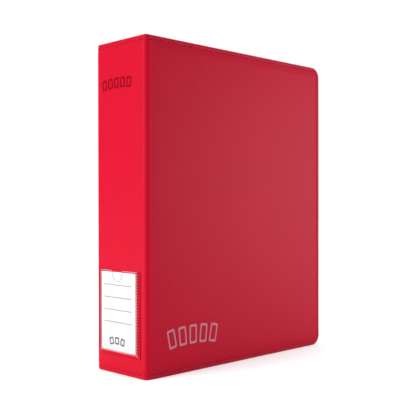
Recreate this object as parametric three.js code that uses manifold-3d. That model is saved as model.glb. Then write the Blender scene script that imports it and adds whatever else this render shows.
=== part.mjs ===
// A trading card ring binder, closed and standing on its lower edges.
//
// The case is three stiff panels (front cover, spine and back cover) joined by two flexible hinges.
// Each panel is an outer skin turned over the edges, a thin padding, a board and an inner lining.
// A D-ring mechanism is riveted inside the back cover, three nine-pocket pages hang on its rings,
// and a clear pocket on the spine holds a title card.
//
// Frame: millimetres, +X from the spine to the fore edge, +Y from the front cover to the back cover,
// +Z up. The origin is at the middle of the base.

import * as THREE from "three";
import { mergeVertices } from "three/addons/utils/BufferGeometryUtils.js";
import Module from "manifold-3d";

const wasm = await Module();
wasm.setup();

// ---- Case -------------------------------------------------------------------------------------

const HEIGHT = 330;
const COVER_WIDTH = 272; // from the spine's face to the fore edge
const DEPTH = 78; // over both covers
const LINING_T = 0.7;
const BOARD_T = 2;
const PADDING_T = 0.8;
const SKIN_T = 0.8;
const GLUE = 0.1; // the glue line between two layers
const COVER_T = LINING_T + BOARD_T + PADDING_T + SKIN_T + 3 * GLUE;
const BEND_R = 5; // outer radius of the bend at each hinge of the closed case
const FORE_CORNER_R = 12; // rounding of the covers' fore corners
const EDGE_GAP = 0.15; // between a panel and the hinge strip beside it

// ---- Title pocket on the spine ----------------------------------------------------------------

const CARD_WIDTH = 53.6;
const CARD_HEIGHT = 78;
const CARD_T = 0.4;
const CARD_BASE = 22.8; // height of the card's lower edge
const CARD_OFFSET = -3.1; // of the card's middle from the spine's, towards the back cover
const FRONT_SEAM_WIDTH = 4.4; // of the pocket's sewn border nearer the front cover
const BACK_SEAM_WIDTH = 3.4;
const LOWER_SEAM_HEIGHT = 4.2;
const CARD_SILL_GAP = 0.3; // between the card's lower edge and the lower border
const SEAM_T = 0.7;
const FRONT_SEAM_GAP = 2.6; // between the card and the border beside it
const BACK_SEAM_GAP = 0.4;
const WINDOW_T = 0.4;
const WINDOW_TOP_MARGIN = 1.7; // from the card's upper edge to the window's
const NOTCH_R = 7.75;
const NOTCH_DEPTH = 10.4;
const NOTCH_OFFSET = -1; // of the thumb notch's middle from the card's
const POCKET_PROUD = SEAM_T + WINDOW_T + 2 * GLUE;

const SPINE_FACE = -(COVER_WIDTH - POCKET_PROUD) / 2;
const BACK_FACE = DEPTH / 2;
const FRONT_FACE = -DEPTH / 2;

// ---- Ring mechanism, in its own frame: x across it, y along it, z out from the back lining -------

const MECHANISM_X = -101; // of its centre line, in the binder's frame
const PLATE_LENGTH = 280;
const PLATE_HALF = 19;
const PLATE_CROWN = 10;
const PLATE_SIDE = 5; // height of the plate's side walls
const PLATE_T = 0.8;
const PLATE_LIP = 2.2;
const SLOT_HALF = 2.7; // half the width of the slot that a ring's foot stands in
const SLOT_NEAR = 2.6; // how far the slot reaches from the foot towards the plate's middle
const SLOT_FAR = 3.6; // and away from it
const RING_PITCH = 108;
const RING_ROWS = [-RING_PITCH, 0, RING_PITCH];
const WIRE_R = 2;
const WIRE_SIDES = 10;
const POST_X = 12; // of the two feet of a ring, either side of the centre line
const RING_FOOT_Z = 4;
const RING_TOP_Z = 58;
const RING_BULGE_X = 20;
const RING_BULGE_Z = 31;
const RING_BOW_HANDLES = [6, 12, 16]; // how far a bow's curve runs straight at its neck and bulge
const RING_BOW_LEAD = 12; // and at its tip
const RING_CORNER_R = 10;
const TIP_GAP = 0.3; // between the two closed halves of a ring
const QUARTER_CIRCLE = 0.5523; // a Bezier curve's handle over the radius of the circle it follows
const RAIL_PIVOT = { x: 17, z: 3.6 };
const RAIL_T = 1;
const RAIL_REACH = 16.65; // from the pivot to the rail's inner edge
const RAIL_HEEL = 0.7; // from the pivot to the rail's outer edge
const RAIL_TILT = THREE.MathUtils.degToRad(6); // of each rail when the rings are shut
const RAIL_LENGTH = 255;
const RIVET_Y = 120;
const RIVET_SHANK_R = 1.8;
const RIVET_HEAD_R = 4.5;
const RIVET_TAIL_R = 4.2;
const RIVET_HOLE_R = 2.1;
const RIVET_TAIL_T = 0.6;
const RIVET_TAIL_GAP = 0.3; // between a rivet's tail and the padding round it
const RIVET_DOME = [[0.6, 0.6], [2, 1]]; // steps inwards and upwards from the head's rim
const RIVET_CROWN = 1.1; // height of the head at its middle
const RIVET_NOTCH_GAP = 1.6; // between a rivet's shank and the notch in the rails
const LEVER_Y = 134;
const LEVER_Z = 5.2;
const LEVER_WIDTH = 15;
const LEVER_HUB_R = 2.3;
const LEVER_WAY = 6; // from a lever's pin to the end of the opening in the plate's roof
const LEVER_WAY_GAP = 1; // either side of the lever
const FINGER_HALF = 2.5; // half the width of a lever's fingers
const UPPER_FINGER = { y: [-8.5, -1.4], z: [-2.1, -1.1] };
const LOWER_FINGER = { y: [-7.2, 0], z: [-5.1, -4.5] };
const FINGER_ROOT = { y: [-1.2, 1.2], z: [-5, 0] };
const PIN_R = 1;
const PIN_HOLE_R = 1.2;
const EAR_X = 9.2; // of the middle of each ear that carries a lever's pin
const EAR_T = 0.8;
const EAR_HALF = 4; // half the length of an ear along the plate
const EAR_Z = [2.6, 8.6];

// ---- Pages, in the mechanism's frame ------------------------------------------------------------

const PAGE_COUNT = 3;
const PAGE_T = 0.6;
const PAGE_PITCH = 1.2;
const LOWEST_PAGE_Z = 12;
const PAGE_HEIGHT = 286;
const PAGE_HOLE_X = POST_X + 1.2; // a page hangs a little off its posts
const PAGE_HOLE_R = 4;
const PAGE_MARGIN = 8.5; // from the holes' middle to the page's punched edge
const PAGE_REACH = 222; // from the holes' middle to the page's outer edge
const FOLD_X = 27; // of the fold between the punched strip and the pockets
const FOLD_GAP = 1;

const MATERIALS = {
  leatherette: { color: 0xc8102e, roughness: 0.55, metalness: 0 },
  padding: { color: 0xe8e2d4, roughness: 0.95, metalness: 0 },
  board: { color: 0x9a8f7e, roughness: 0.9, metalness: 0 },
  lining: { color: 0x1d1c1e, roughness: 0.75, metalness: 0 },
  plated_steel: { color: 0xd4d6d8, roughness: 0.18, metalness: 1 },
  dark_steel: { color: 0x8c8f92, roughness: 0.4, metalness: 1 },
  clear_film: { color: 0xeef2f4, roughness: 0.12, metalness: 0 },
  seam: { color: 0xb00d27, roughness: 0.6, metalness: 0 },
  label_card: { color: 0xf7f7f5, roughness: 0.7, metalness: 0 },
  page_film: { color: 0xd9dee2, roughness: 0.2, metalness: 0 },
};

// ---- Helpers ------------------------------------------------------------------------------------

function material(name) {
  return new THREE.MeshStandardMaterial({ name, ...MATERIALS[name] });
}

function mesh(name, geometry, materialName) {
  const made = new THREE.Mesh(geometry, material(materialName));
  made.name = name;
  return made;
}

function toManifold(geometry) {
  const bare = geometry.index ? geometry.toNonIndexed() : geometry.clone();
  bare.deleteAttribute("normal");
  bare.deleteAttribute("uv");
  const merged = mergeVertices(bare, 1e-4);
  const triVerts = new Uint32Array(merged.index.array);
  const vertProperties = merged.attributes.position.array;
  return new wasm.Manifold(new wasm.Mesh({ numProp: 3, vertProperties, triVerts }));
}

function toGeometry(manifold) {
  const { numProp, vertProperties, triVerts } = manifold.getMesh();
  const count = vertProperties.length / numProp;
  const position = new Float32Array(count * 3);
  for (let i = 0; i < count; i++) {
    position.set(vertProperties.subarray(i * numProp, i * numProp + 3), i * 3);
  }
  const geometry = new THREE.BufferGeometry();
  geometry.setAttribute("position", new THREE.BufferAttribute(position, 3));
  geometry.setIndex(new THREE.BufferAttribute(triVerts, 1));
  geometry.computeVertexNormals();
  return geometry;
}

// One geometry, cut by others.
function cut(geometry, ...tools) {
  const start = toManifold(geometry);
  return toGeometry(tools.reduce((body, tool) => body.subtract(toManifold(tool)), start));
}

// Several geometries that overlap, as one.
function join(first, ...others) {
  const start = toManifold(first);
  return toGeometry(others.reduce((body, other) => body.add(toManifold(other)), start));
}

// A box between two corners.
function block([x0, y0, z0], [x1, y1, z1]) {
  const box = new THREE.BoxGeometry(x1 - x0, y1 - y0, z1 - z0);
  return box.translate((x0 + x1) / 2, (y0 + y1) / 2, (z0 + z1) / 2);
}

// A cylinder along the local z axis, from z0 to z1.
function drum(radius, z0, z1, x = 0, y = 0, sides = 24) {
  const cylinder = new THREE.CylinderGeometry(radius, radius, z1 - z0, sides);
  return cylinder.rotateX(Math.PI / 2).translate(x, y, (z0 + z1) / 2);
}

// A cylinder along the local x axis, centred on it.
function crossDrum(radius, length, sides = 20) {
  return new THREE.CylinderGeometry(radius, radius, length, sides).rotateZ(Math.PI / 2);
}

function extrude(shape, z0, z1, curveSegments = 8) {
  const depth = z1 - z0;
  const geometry = new THREE.ExtrudeGeometry(shape, { depth, bevelEnabled: false, curveSegments });
  return geometry.translate(0, 0, z0);
}

// A profile drawn in x and z, run along y, centred on y = 0.
function runAlongY(profile, length, curveSegments = 12) {
  return extrude(profile, -length / 2, length / 2, curveSegments).rotateX(Math.PI / 2);
}

// A profile drawn in y and z, run along x, centred on x = 0.
function runAlongX(profile, length, curveSegments = 8) {
  const geometry = extrude(profile, -length / 2, length / 2, curveSegments);
  return geometry.rotateX(Math.PI / 2).rotateZ(Math.PI / 2);
}

// A rectangle whose corners on the side x1 are rounded.
function panelShape(x0, x1, y0, y1, r) {
  const out = Math.sign(x1 - x0);
  const shape = new THREE.Shape();
  shape.moveTo(x0, y0);
  shape.lineTo(x1 - out * r, y0);
  shape.absarc(x1 - out * r, y0 + r, r, -Math.PI / 2, out > 0 ? 0 : -Math.PI, out < 0);
  shape.absarc(x1 - out * r, y1 - r, r, out > 0 ? 0 : Math.PI, Math.PI / 2, out < 0);
  shape.lineTo(x0, y1);
  shape.closePath();
  return shape;
}

// A group whose local x is across, y is up and z is out of the surface that it stands on, turned
// about the vertical so that its z points out of the front (0), the spine or the back.
function standing(x, y, z, turn) {
  const group = new THREE.Group();
  group.position.set(x, y, z);
  group.rotation.set(Math.PI / 2, 0, turn, "ZYX");
  return group;
}

// ---- Covers and spine -----------------------------------------------------------------------------

// The heights of the layers above the panel's inner face.
const LINING_Z = [0, LINING_T];
const BOARD_Z = [LINING_T + GLUE, LINING_T + GLUE + BOARD_T];
const PADDING_Z = [BOARD_Z[1] + GLUE, BOARD_Z[1] + GLUE + PADDING_T];

// A cover: a tray of skin, open at the hinge, with the padding, board and lining inside it.
// side is 1 where local +x leads from the hinge to the fore edge, and -1 where -x does.
function cover(name, side, drills = {}) {
  const width = side * (COVER_WIDTH - BEND_R - EDGE_GAP);
  const inset = SKIN_T + GLUE;
  const outline = panelShape(0, width, 0, HEIGHT, FORE_CORNER_R);
  const cavity = panelShape(
    -side, width - side * SKIN_T, SKIN_T, HEIGHT - SKIN_T, FORE_CORNER_R - SKIN_T);
  const filling = panelShape(
    0, width - side * inset, inset, HEIGHT - inset, FORE_CORNER_R - inset);
  const skin = cut(extrude(outline, 0, COVER_T), extrude(cavity, -1, COVER_T - SKIN_T));
  const layer = ([z0, z1], holes = []) => {
    const sheet = extrude(filling, z0, z1);
    return holes.length ? cut(sheet, ...holes) : sheet;
  };
  return [
    mesh(`${name}_skin`, skin, "leatherette"),
    mesh(`${name}_padding`, layer(PADDING_Z, drills.padding), "padding"),
    mesh(`${name}_board`, layer(BOARD_Z, drills.board), "board"),
    mesh(`${name}_lining`, layer(LINING_Z, drills.board), "lining"),
  ];
}

// The spine: like a cover, but with a hinge on both sides, so its skin turns in only above and below.
function spine() {
  const half = DEPTH / 2 - BEND_R - EDGE_GAP;
  const inset = SKIN_T + GLUE;
  const shell = block([-half, 0, 0], [half, HEIGHT, COVER_T]);
  const cavity = block([-half - 1, SKIN_T, -1], [half + 1, HEIGHT - SKIN_T, COVER_T - SKIN_T]);
  const layer = ([z0, z1]) => block([-half, inset, z0], [half, HEIGHT - inset, z1]);
  return [
    mesh("spine_skin", cut(shell, cavity), "leatherette"),
    mesh("spine_padding", layer(PADDING_Z), "padding"),
    mesh("spine_board", layer(BOARD_Z), "board"),
    mesh("spine_lining", layer(LINING_Z), "lining"),
  ];
}

// A quarter tube of sheet, bent round the vertical through the middle of a hinge's bend.
function bend(outerR, thickness, startAngle, height) {
  const shape = new THREE.Shape();
  const end = startAngle + Math.PI / 2;
  shape.absarc(0, 0, outerR, startAngle, end, false);
  shape.absarc(0, 0, outerR - thickness, end, startAngle, true);
  shape.closePath();
  return extrude(shape, (HEIGHT - height) / 2, (HEIGHT + height) / 2);
}

// The skin and the lining where they cross a hinge. startAngle is where the quarter turn begins.
function hinge(name, y, startAngle) {
  const group = new THREE.Group();
  group.position.set(SPINE_FACE + BEND_R, y, 0);
  const liningR = BEND_R - SKIN_T - GLUE;
  const liningHeight = HEIGHT - 2 * (SKIN_T + GLUE);
  group.add(
    mesh(`${name}_hinge_skin`, bend(BEND_R, SKIN_T, startAngle, HEIGHT), "leatherette"),
    mesh(`${name}_hinge_lining`, bend(liningR, LINING_T, startAngle, liningHeight), "lining"),
  );
  return group;
}

// ---- Title pocket -----------------------------------------------------------------------------------

// In the spine's frame: x towards the front cover, y up, z out.
function titlePocket() {
  const seamZ = [COVER_T + GLUE, COVER_T + GLUE + SEAM_T];
  const windowZ = [seamZ[1] + GLUE, seamZ[1] + GLUE + WINDOW_T];
  const cardZ = COVER_T + 2 * GLUE;
  const frontX = CARD_WIDTH / 2 + FRONT_SEAM_GAP;
  const backX = -CARD_WIDTH / 2 - BACK_SEAM_GAP;
  const [x0, x1] = [backX - BACK_SEAM_WIDTH, frontX + FRONT_SEAM_WIDTH];
  const sill = CARD_BASE - CARD_SILL_GAP;
  const foot = sill - LOWER_SEAM_HEIGHT;
  const top = CARD_BASE + CARD_HEIGHT + WINDOW_TOP_MARGIN;
  const notchY = top - NOTCH_DEPTH + NOTCH_R;

  const pane = new THREE.Shape();
  pane.moveTo(x0, foot);
  pane.lineTo(x1, foot);
  pane.lineTo(x1, top);
  pane.lineTo(NOTCH_OFFSET + NOTCH_R, top);
  pane.lineTo(NOTCH_OFFSET + NOTCH_R, notchY);
  pane.absarc(NOTCH_OFFSET, notchY, NOTCH_R, 0, -Math.PI, true);
  pane.lineTo(NOTCH_OFFSET - NOTCH_R, top);
  pane.lineTo(x0, top);
  pane.closePath();

  const sideSeam = (from, to) => block([from, sill + GLUE, seamZ[0]], [to, top, seamZ[1]]);
  const card = block(
    [-CARD_WIDTH / 2, CARD_BASE, cardZ], [CARD_WIDTH / 2, CARD_BASE + CARD_HEIGHT, cardZ + CARD_T]);

  const pocket = new THREE.Group();
  pocket.position.x = CARD_OFFSET;
  pocket.add(
    mesh("title_window", extrude(pane, ...windowZ, 10), "clear_film"),
    mesh("title_seam_front", sideSeam(frontX, x1), "seam"),
    mesh("title_seam_back", sideSeam(x0, backX), "seam"),
    mesh("title_seam_lower", block([x0, foot, seamZ[0]], [x1, sill, seamZ[1]]), "seam"),
    mesh("title_card", card, "label_card"),
  );
  return pocket;
}

// ---- Ring mechanism ---------------------------------------------------------------------------------

// The arched plate that covers the rails, with its edges turned in under them.
function coverPlate() {
  const inner = PLATE_HALF - PLATE_T;
  const rise = PLATE_CROWN - PLATE_SIDE;
  const archR = (PLATE_HALF ** 2 + rise ** 2) / (2 * rise);
  const archZ = PLATE_CROWN - archR;
  const outerTurn = Math.asin(PLATE_HALF / archR);
  const innerTurn = Math.asin(inner / (archR - PLATE_T));
  const up = Math.PI / 2;
  const profile = new THREE.Shape();
  profile.moveTo(PLATE_HALF, 0);
  profile.lineTo(PLATE_HALF, PLATE_SIDE);
  profile.absarc(0, archZ, archR, up - outerTurn, up + outerTurn, false);
  profile.lineTo(-PLATE_HALF, 0);
  profile.lineTo(-PLATE_HALF + PLATE_LIP, 0);
  profile.lineTo(-PLATE_HALF + PLATE_LIP, PLATE_T);
  profile.lineTo(-inner, PLATE_T);
  profile.absarc(0, archZ, archR - PLATE_T, up + innerTurn, up - innerTurn, true);
  profile.lineTo(inner, PLATE_T);
  profile.lineTo(PLATE_HALF - PLATE_LIP, PLATE_T);
  profile.lineTo(PLATE_HALF - PLATE_LIP, 0);
  profile.closePath();

  const roof = [PLATE_SIDE, PLATE_CROWN + 1]; // what a tool has to cut through
  const slots = RING_ROWS.flatMap((y) =>
    [-1, 1].map((side) => {
      const [near, far] = [side * (POST_X - SLOT_NEAR), side * (POST_X + SLOT_FAR)];
      const [x0, x1] = [Math.min(near, far), Math.max(near, far)];
      return block([x0, y - SLOT_HALF, roof[0]], [x1, y + SLOT_HALF, roof[1]]);
    }));
  const rivetHoles = [-1, 1].map((end) => drum(RIVET_HOLE_R, ...roof, 0, end * RIVET_Y));
  const leverWay = (end) => {
    const [y0, y1] = [end * (LEVER_Y - LEVER_WAY), end * (PLATE_LENGTH / 2 + 1)];
    const half = LEVER_WIDTH / 2 + LEVER_WAY_GAP;
    return block([-half, Math.min(y0, y1), roof[0]], [half, Math.max(y0, y1), roof[1]]);
  };
  const plate = cut(
    runAlongY(profile, PLATE_LENGTH), ...slots, ...rivetHoles, leverWay(1), leverWay(-1));

  const ears = [];
  for (const end of [-1, 1]) {
    for (const side of [-1, 1]) {
      const x = side * EAR_X;
      const y = end * LEVER_Y;
      const ear = block(
        [x - EAR_T / 2, y - EAR_HALF, EAR_Z[0]], [x + EAR_T / 2, y + EAR_HALF, EAR_Z[1]]);
      const hole = crossDrum(PIN_HOLE_R, 5 * EAR_T).translate(x, y, LEVER_Z);
      ears.push(cut(ear, hole));
    }
  }
  return mesh("ring_cover_plate", join(plate, ...ears), "plated_steel");
}

// One of the two spring rails under the plate. side is 1 for the one nearer the pages.
function rail(side) {
  const group = new THREE.Group();
  group.position.set(side * RAIL_PIVOT.x, 0, RAIL_PIVOT.z);
  group.rotation.y = -side * RAIL_TILT;
  const [x0, x1] = side > 0 ? [-RAIL_REACH, RAIL_HEEL] : [-RAIL_HEEL, RAIL_REACH];
  const half = RAIL_LENGTH / 2;
  const strip = block([x0, -half, -RAIL_T / 2], [x1, half, RAIL_T / 2]);
  const notches = [-1, 1].map((end) =>
    drum(RIVET_SHANK_R + RIVET_NOTCH_GAP, -RAIL_T, RAIL_T, -side * RAIL_PIVOT.x, end * RIVET_Y));
  const name = side > 0 ? "rail_page_side" : "rail_spine_side";
  group.add(mesh(name, cut(strip, ...notches), "dark_steel"));
  return group;
}

// A wire of round section along a path.
function wire(path, steps) {
  const points = Array.from({ length: WIRE_SIDES }, (_, i) => {
    const angle = (i / WIRE_SIDES) * 2 * Math.PI;
    return new THREE.Vector2(WIRE_R * Math.cos(angle), WIRE_R * Math.sin(angle));
  });
  return new THREE.ExtrudeGeometry(new THREE.Shape(points), { steps, extrudePath: path });
}

function inRingPlane(x, z) {
  return new THREE.Vector3(x, 0, z);
}

// The straight half of a D ring, which stands on the page side rail: a post and a rounded corner.
function postPath() {
  const path = new THREE.CurvePath();
  const shoulder = RING_TOP_Z - RING_CORNER_R;
  const round = QUARTER_CIRCLE * RING_CORNER_R;
  const cornerX = POST_X - RING_CORNER_R;
  path.add(new THREE.LineCurve3(inRingPlane(POST_X, RING_FOOT_Z), inRingPlane(POST_X, shoulder)));
  path.add(new THREE.CubicBezierCurve3(
    inRingPlane(POST_X, shoulder),
    inRingPlane(POST_X, shoulder + round),
    inRingPlane(cornerX + round, RING_TOP_Z),
    inRingPlane(cornerX, RING_TOP_Z)));
  path.add(new THREE.LineCurve3(
    inRingPlane(cornerX, RING_TOP_Z), inRingPlane(TIP_GAP / 2, RING_TOP_Z)));
  return path;
}

// The bowed half of a D ring, which stands on the spine side rail.
function bowPath() {
  const path = new THREE.CurvePath();
  const neck = inRingPlane(-POST_X, PLATE_CROWN);
  const bulge = inRingPlane(-RING_BULGE_X, RING_BULGE_Z);
  const [neckRun, lowerRun, upperRun] = RING_BOW_HANDLES;
  path.add(new THREE.LineCurve3(inRingPlane(-POST_X, RING_FOOT_Z), neck));
  path.add(new THREE.CubicBezierCurve3(
    neck,
    inRingPlane(-POST_X, PLATE_CROWN + neckRun),
    inRingPlane(-RING_BULGE_X, RING_BULGE_Z - lowerRun),
    bulge));
  path.add(new THREE.CubicBezierCurve3(
    bulge,
    inRingPlane(-RING_BULGE_X, RING_BULGE_Z + upperRun),
    inRingPlane(-RING_BOW_LEAD, RING_TOP_Z),
    inRingPlane(-TIP_GAP / 2, RING_TOP_Z)));
  return path;
}

function rings() {
  const [postSteps, bowSteps] = [20, 24];
  return RING_ROWS.flatMap((y, i) => {
    const post = mesh(`ring_post_${i + 1}`, wire(postPath(), postSteps), "plated_steel");
    const bow = mesh(`ring_bow_${i + 1}`, wire(bowPath(), bowSteps), "plated_steel");
    post.position.y = y;
    bow.position.y = y;
    return [post, bow];
  });
}

// The side view of a lever's thumb tab, in y and z from its pin: it sweeps out from the hub, turns up
// at the knee and ends in a rounded tip.
function tabShape() {
  const root = { y: 0.4, lower: -2, upper: 1.2 };
  const knee = { outerY: 10.2, outerZ: 5, innerY: 8.9, innerZ: 5.6 };
  const tip = { y: 12.7, z: 19.8, r: 0.72 };
  const tab = new THREE.Shape();
  tab.moveTo(root.y, root.lower);
  tab.quadraticCurveTo(7, -1.6, knee.outerY, knee.outerZ);
  tab.lineTo(tip.y + tip.r, tip.z - 0.2);
  tab.absarc(tip.y, tip.z, tip.r, 0, Math.PI, false);
  tab.lineTo(knee.innerY, knee.innerZ);
  tab.quadraticCurveTo(6, 0.6, root.y, root.upper);
  tab.closePath();
  return tab;
}

// A lever at one end of the plate. Its fingers hold the rails' ends, and its tab is for the thumb.
function lever(name, end) {
  const fingers = [UPPER_FINGER, LOWER_FINGER, FINGER_ROOT].map(({ y, z }) =>
    block([-FINGER_HALF, y[0], z[0]], [FINGER_HALF, y[1], z[1]]));
  const hub = crossDrum(LEVER_HUB_R, LEVER_WIDTH);
  const body = join(hub, ...fingers, runAlongX(tabShape(), LEVER_WIDTH));
  const bored = cut(body, crossDrum(PIN_HOLE_R, LEVER_WIDTH + 2));
  const group = new THREE.Group();
  group.position.set(0, end * LEVER_Y, LEVER_Z);
  if (end < 0) {
    group.rotation.z = Math.PI;
  }
  const pin = crossDrum(PIN_R, 2 * (EAR_X + EAR_T));
  group.add(
    mesh(`lever_${name}`, bored, "plated_steel"),
    mesh(`lever_pin_${name}`, pin, "dark_steel"),
  );
  return group;
}

// A rivet through the plate, the lining and the board, spread in the padding under the outer skin.
function rivet(name, end) {
  const tailTop = -BOARD_Z[1] - GLUE / 2;
  const tailFoot = tailTop - RIVET_TAIL_T;
  const headFoot = PLATE_CROWN + GLUE;
  const outline = [
    [0, tailFoot],
    [RIVET_TAIL_R, tailFoot],
    [RIVET_TAIL_R, tailTop],
    [RIVET_SHANK_R, tailTop],
    [RIVET_SHANK_R, headFoot],
    [RIVET_HEAD_R, headFoot],
    ...RIVET_DOME.map(([inwards, up]) => [RIVET_HEAD_R - inwards, headFoot + up]),
    [0, headFoot + RIVET_CROWN],
  ].map(([r, z]) => new THREE.Vector2(r, z));
  const made = mesh(name, new THREE.LatheGeometry(outline, 20), "plated_steel");
  made.rotation.x = Math.PI / 2;
  made.position.y = end * RIVET_Y;
  return made;
}

// ---- Pages ------------------------------------------------------------------------------------------

// A page in two pieces, so that it can bend at the weld between them: the punched strip that hangs on
// the posts, and the sheet of nine pockets. Page 1 is nearest the front cover.
function page(number) {
  const z0 = LOWEST_PAGE_Z + (PAGE_COUNT - number) * PAGE_PITCH;
  const z1 = z0 + PAGE_T;
  const half = PAGE_HEIGHT / 2;
  const holes = RING_ROWS.map((y) => drum(PAGE_HOLE_R, z0 - 1, z1 + 1, PAGE_HOLE_X, y, 20));
  const stripEnd = FOLD_X - FOLD_GAP / 2;
  const strip = block([PAGE_HOLE_X - PAGE_MARGIN, -half, z0], [stripEnd, half, z1]);
  const pockets = block([FOLD_X + FOLD_GAP / 2, -half, z0], [PAGE_HOLE_X + PAGE_REACH, half, z1]);
  return [
    mesh(`page_${number}_strip`, cut(strip, ...holes), "page_film"),
    mesh(`page_${number}_pockets`, pockets, "page_film"),
  ];
}

// ---- Assembly ---------------------------------------------------------------------------------------

const hingeX = SPINE_FACE + BEND_R + EDGE_GAP;

const frontCover = standing(hingeX, FRONT_FACE + COVER_T, 0, 0);
frontCover.add(...cover("front_cover", 1));

// The rivets' holes, in the back cover's frame, whose x runs from the fore edge to the hinge.
const drill = (radius, z0, z1) =>
  [-1, 1].map((end) =>
    drum(radius, z0 - 1, z1 + 1, hingeX - MECHANISM_X, HEIGHT / 2 + end * RIVET_Y));
const backCover = standing(hingeX, BACK_FACE - COVER_T, 0, Math.PI);
backCover.add(...cover("back_cover", -1, {
  padding: drill(RIVET_TAIL_R + RIVET_TAIL_GAP, ...PADDING_Z),
  board: drill(RIVET_HOLE_R, LINING_Z[0], BOARD_Z[1]),
}));

const spinePanel = standing(SPINE_FACE + COVER_T, 0, 0, -Math.PI / 2);
spinePanel.add(...spine(), titlePocket());

const mechanism = standing(MECHANISM_X, BACK_FACE - COVER_T, HEIGHT / 2, 0);
mechanism.add(
  coverPlate(),
  rail(1),
  rail(-1),
  ...rings(),
  lever("upper", 1),
  lever("lower", -1),
  rivet("rivet_upper", 1),
  rivet("rivet_lower", -1),
);
for (let number = 1; number <= PAGE_COUNT; number++) {
  mechanism.add(...page(number));
}

const binder = new THREE.Group();
binder.add(
  frontCover,
  backCover,
  spinePanel,
  hinge("front", FRONT_FACE + BEND_R, Math.PI),
  hinge("back", BACK_FACE - BEND_R, Math.PI / 2),
  mechanism,
);

export default binder;
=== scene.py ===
"""The looks of the trading card binder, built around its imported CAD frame.

The covers and the spine get an embossed leatherette skin over foam, stitched round the edges. The
title pocket gets its film, thread and printed card, the inside gets its lining, and the ring
mechanism and the nine-pocket pages get their finished meshes.

Frame: metres, +X from the spine to the fore edge, +Y from the front cover to the back cover, +Z up.
"""

from math import asin, cos, hypot, pi, radians, sin

import bmesh
import bpy
import numpy as np
from mathutils import Matrix, Vector


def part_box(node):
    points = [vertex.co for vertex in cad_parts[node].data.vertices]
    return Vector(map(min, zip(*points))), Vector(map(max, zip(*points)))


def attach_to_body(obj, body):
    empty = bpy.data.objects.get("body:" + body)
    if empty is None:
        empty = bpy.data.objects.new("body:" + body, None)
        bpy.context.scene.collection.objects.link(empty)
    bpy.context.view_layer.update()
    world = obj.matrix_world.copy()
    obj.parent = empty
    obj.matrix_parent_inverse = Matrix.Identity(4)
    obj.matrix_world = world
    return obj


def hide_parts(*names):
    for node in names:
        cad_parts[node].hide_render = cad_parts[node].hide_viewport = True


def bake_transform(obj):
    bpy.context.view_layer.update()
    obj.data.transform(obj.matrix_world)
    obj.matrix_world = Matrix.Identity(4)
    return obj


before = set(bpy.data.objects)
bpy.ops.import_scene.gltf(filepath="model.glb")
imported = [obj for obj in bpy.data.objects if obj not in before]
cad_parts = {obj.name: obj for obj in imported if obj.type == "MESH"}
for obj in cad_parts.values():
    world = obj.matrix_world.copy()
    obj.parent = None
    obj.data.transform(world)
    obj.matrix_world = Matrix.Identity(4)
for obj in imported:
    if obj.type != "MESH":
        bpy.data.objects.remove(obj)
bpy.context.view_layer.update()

MM = 0.001

# ---- Places from the frame ----

FRONT_LOW, FRONT_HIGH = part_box("front_cover_skin")
BACK_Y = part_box("back_cover_skin")[1].y
SPINE_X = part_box("spine_skin")[0].x  # the spine's outer face
BEND_LOW, BEND_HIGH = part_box("front_hinge_skin")
CARD_LOW, CARD_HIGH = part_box("title_card")
WINDOW_LOW, WINDOW_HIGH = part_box("title_window")

HEIGHT = FRONT_HIGH.z - FRONT_LOW.z
MIDDLE_Z = HEIGHT / 2
FRONT_Y = FRONT_LOW.y  # the front cover's outer face
COVER_T = FRONT_HIGH.y - FRONT_LOW.y
BEND_R = BEND_HIGH.x - BEND_LOW.x
BEND_LENGTH = BEND_R * pi / 2
COVER_REACH = BEND_LENGTH + FRONT_HIGH.x - SPINE_X - BEND_R  # from the spine to the fore edge
FORE_CORNER_R = 12 * MM

# ---- Leatherette ----

SKIN_T = 0.65 * MM
SEAM_INSET = 4.5 * MM  # from the edge to the line of stitches
STITCH_PITCH = 3.8 * MM
STITCH_LENGTH = 2.6 * MM
THREAD_R = 0.4 * MM
CROWN = 0.3 * MM  # how far the padded middle stands proud of the CAD's flat face
SEAM_DIP = 0.34 * MM  # depth of the stitched groove
RIM_DIP = 0.24 * MM  # depth of the rim outside the groove
LINING_SEAM_DIP = 0.16 * MM

# Pitches of the materials' patterns, in millimetres.
GRAIN_PITCH = 0.95
RIPPLE_PITCH = 5.4
WEAVE_PITCH = 0.62


# ---- Mesh helpers ----


def add_object(name, data):
    obj = bpy.data.objects.new(name, data)
    bpy.context.scene.collection.objects.link(obj)
    return obj


def mesh_object(name, geometry, uvs=None, smooth=True, merge=1e-7, close=False):
    """An object from points and faces, with a UV in metres for each point. close fills its open ends."""
    points, faces = geometry
    mesh = bpy.data.meshes.new(name)
    mesh.from_pydata([tuple(p) for p in points], [], faces)
    if uvs is not None:
        layer = mesh.uv_layers.new(name="wrap")
        for loop in mesh.loops:
            layer.data[loop.index].uv = uvs[loop.vertex_index]
    bm = bmesh.new()
    bm.from_mesh(mesh)
    bmesh.ops.remove_doubles(bm, verts=bm.verts, dist=merge)
    for face in bm.faces:
        face.smooth = smooth
    if close:
        rims = [edge for edge in bm.edges if edge.is_boundary]
        for face in bmesh.ops.holes_fill(bm, edges=rims, sides=0)["faces"]:
            face.smooth = False
            for edge in face.edges:
                edge.smooth = False
    bmesh.ops.recalc_face_normals(bm, faces=bm.faces)
    bm.to_mesh(mesh)
    bm.free()
    return add_object(name, mesh)


def sharpen(obj, degrees):
    """Smooth shading, with edges over this angle kept sharp."""
    bm = bmesh.new()
    bm.from_mesh(obj.data)
    for edge in bm.edges:
        edge.smooth = not (len(edge.link_faces) == 2 and edge.calc_face_angle(0) > radians(degrees))
    for face in bm.faces:
        face.smooth = True
    bm.to_mesh(obj.data)
    bm.free()
    return obj


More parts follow.
